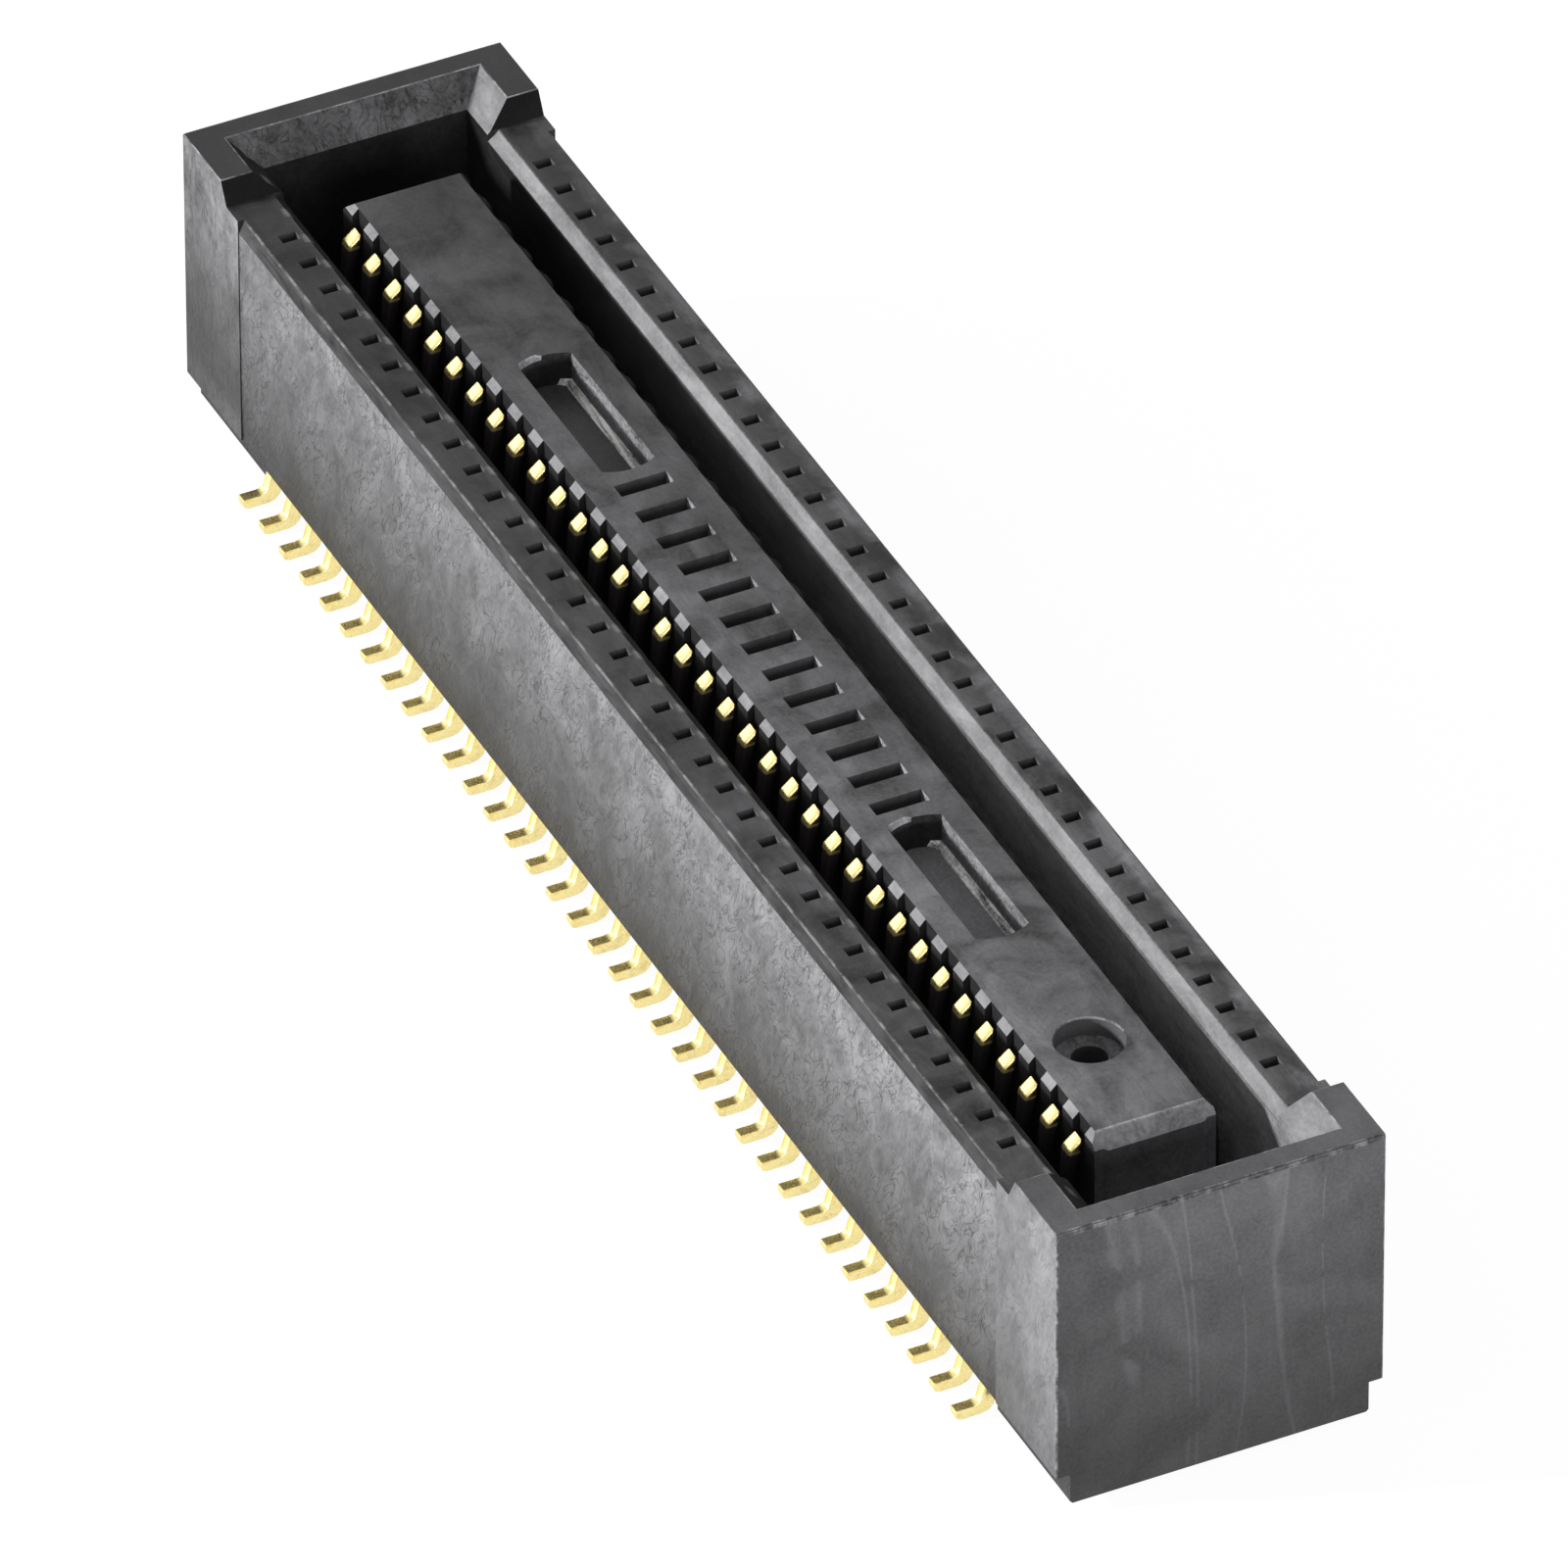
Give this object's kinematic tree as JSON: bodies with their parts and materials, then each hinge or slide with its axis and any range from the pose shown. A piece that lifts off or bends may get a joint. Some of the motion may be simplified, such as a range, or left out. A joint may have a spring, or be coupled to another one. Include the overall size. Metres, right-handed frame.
{
  "type": "logic board connector",
  "caption": "Long two-row surface-mount board connector: open moulded housing with raised ends, a central tongue and a row of blanked contacts on each side.",
  "frame": {"origin": "middle of the connector in plan, at the undersides of the solder tails, which is the board's surface", "axes": "+Z away from the board, out of the open top; +Y along the rows, towards the end without the round mark in the tongue; +X across the rows, towards the contacts named right"},
  "size_m": [0.0066, 0.0332, 0.0058],
  "materials": {
    "housing": "black moulded plastic with a faint flow texture",
    "contacts": "gold plating, smooth"
  },
  "bodies": {
    "root": {"housing": "housing", "contact_left_04": "contacts", "contact_left_05": "contacts", "contact_left_06": "contacts", "contact_left_07": "contacts", "contact_left_08": "contacts", "contact_left_09": "contacts", "contact_left_10": "contacts", "contact_left_11": "contacts", "contact_left_12": "contacts", "contact_left_13": "contacts", "contact_left_14": "contacts", "contact_left_15": "contacts", "contact_left_16": "contacts", "contact_left_17": "contacts", "contact_left_18": "contacts", "contact_left_19": "contacts", "contact_left_20": "contacts", "contact_left_21": "contacts", "contact_left_22": "contacts", "contact_left_23": "contacts", "contact_left_24": "contacts", "contact_left_25": "contacts", "contact_left_26": "contacts", "contact_left_27": "contacts", "contact_left_28": "contacts", "contact_left_29": "contacts", "contact_left_30": "contacts", "contact_left_31": "contacts", "contact_left_32": "contacts", "contact_right_04": "contacts", "contact_right_05": "contacts", "contact_right_06": "contacts", "contact_right_07": "contacts", "contact_right_08": "contacts", "contact_right_09": "contacts", "contact_right_10": "contacts", "contact_right_11": "contacts", "contact_right_12": "contacts", "contact_right_13": "contacts", "contact_right_14": "contacts", "contact_right_15": "contacts", "contact_right_16": "contacts", "contact_right_17": "contacts", "contact_right_18": "contacts", "contact_right_19": "contacts", "contact_right_20": "contacts", "contact_right_21": "contacts", "contact_right_22": "contacts", "contact_right_23": "contacts", "contact_right_24": "contacts", "contact_right_25": "contacts", "contact_right_26": "contacts", "contact_right_27": "contacts", "contact_right_28": "contacts", "contact_right_29": "contacts", "contact_right_30": "contacts", "contact_right_31": "contacts", "contact_right_32": "contacts"}
  },
  "joints": []
}
